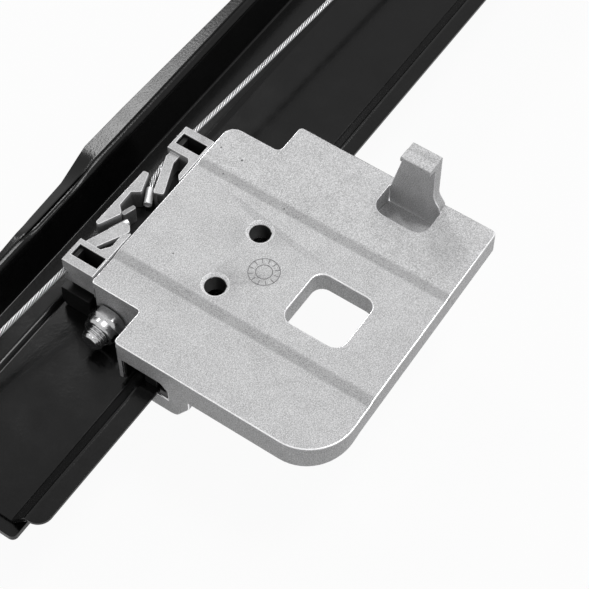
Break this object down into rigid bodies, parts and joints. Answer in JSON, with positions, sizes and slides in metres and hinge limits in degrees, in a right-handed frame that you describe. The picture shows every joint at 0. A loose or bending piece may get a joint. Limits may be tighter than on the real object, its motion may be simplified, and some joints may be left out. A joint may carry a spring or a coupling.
{
  "type": "window regulator",
  "caption": "Single rail window regulator: a cast lift plate slides on a pressed steel guide rail, drawn by a wire rope over two pulleys and a drum",
  "frame": {"origin": "centre of the rail's lower mounting hole, on the web's face toward the lift plate", "axes": "+X up the rail, +Y across it toward the tall wall, +Z out of the web toward the lift plate"},
  "size_m": [0.522, 0.1338, 0.0698],
  "materials": {
    "ecoat_black": "satin black electrocoat with a fine grain",
    "cast_aluminium": "grit blasted die casting",
    "holder_grey": "matt as cast, fine grain",
    "zinc_bright": "bright zinc plate",
    "zinc_dull": "dull zinc plate",
    "rope_steel": "bright stranded wire",
    "acetal_black": "moulded acetal, satin",
    "acetal_grey": "moulded acetal, satin",
    "acetal_natural": "moulded acetal, natural white",
    "nylon_black": "glass filled nylon, fine spark texture",
    "rubber_black": "matt moulded rubber"
  },
  "bodies": {
    "rail": {"guide_rail": "ecoat_black", "lower_bracket": "ecoat_black", "upper_bracket": "ecoat_black", "lower_rivets": "zinc_bright", "upper_rivets": "zinc_bright", "lower_axle": "zinc_bright", "upper_axle": "zinc_bright", "upper_stop": "rubber_black", "drum_studs": "zinc_bright", "drum_cover": "zinc_dull", "drum_housing": "nylon_black", "drum_nuts": "zinc_bright", "lower_return_cable": "rope_steel", "upper_return_cable": "rope_steel", "lower_front_cable": "rope_steel", "upper_front_cable": "rope_steel"},
    "carrier": {"lift_plate": "cast_aluminium", "lower_liner": "acetal_black", "upper_liner": "acetal_black", "cable_tray": "nylon_black", "tray_screws": "zinc_bright", "lower_holder": "holder_grey", "upper_holder": "holder_grey", "retaining_bracket": "holder_grey", "lower_glide": "acetal_black", "upper_glide": "acetal_black", "lower_cable_end": "rope_steel", "upper_cable_end": "rope_steel", "lower_ferrule": "zinc_bright", "upper_ferrule": "zinc_bright", "adjuster_stud": "zinc_bright", "adjuster_nut": "zinc_bright"},
    "lower_wheel": {"lower_pulley": "acetal_grey"},
    "upper_wheel": {"upper_pulley": "acetal_grey"},
    "drum": {"cable_drum": "acetal_natural", "drum_turns": "rope_steel"}
  },
  "joints": [
    {"name": "lift_slide", "type": "slide", "parent": "rail", "child": "carrier", "axis": [1, 0, 0], "range_m": [-0.03, 0.315], "deforming": ["lower_front_cable", "upper_front_cable"]},
    {"name": "lower_pulley_turn", "type": "hinge", "parent": "rail", "child": "lower_wheel", "pos_m": [0.003, 0.019, -0.0005], "axis": [0, 1, 0], "range_deg": [-159, 1643]},
    {"name": "upper_pulley_turn", "type": "hinge", "parent": "rail", "child": "upper_wheel", "pos_m": [0.468, -0.005, -0.0005], "axis": [0, 1, 0], "range_deg": [-159, 1643]},
    {"name": "drum_turn", "type": "hinge", "parent": "rail", "child": "drum", "pos_m": [0.335, -0.015, -0.012], "axis": [0, 0, 1], "range_deg": [-98, 1005]}
  ],
  "couplings": [
    {"joint": "lower_pulley_turn", "follows": "lift_slide", "rad_per_m": 90.909},
    {"joint": "upper_pulley_turn", "follows": "lift_slide", "rad_per_m": 90.909},
    {"joint": "drum_turn", "follows": "lift_slide", "rad_per_m": 55.556}
  ]
}
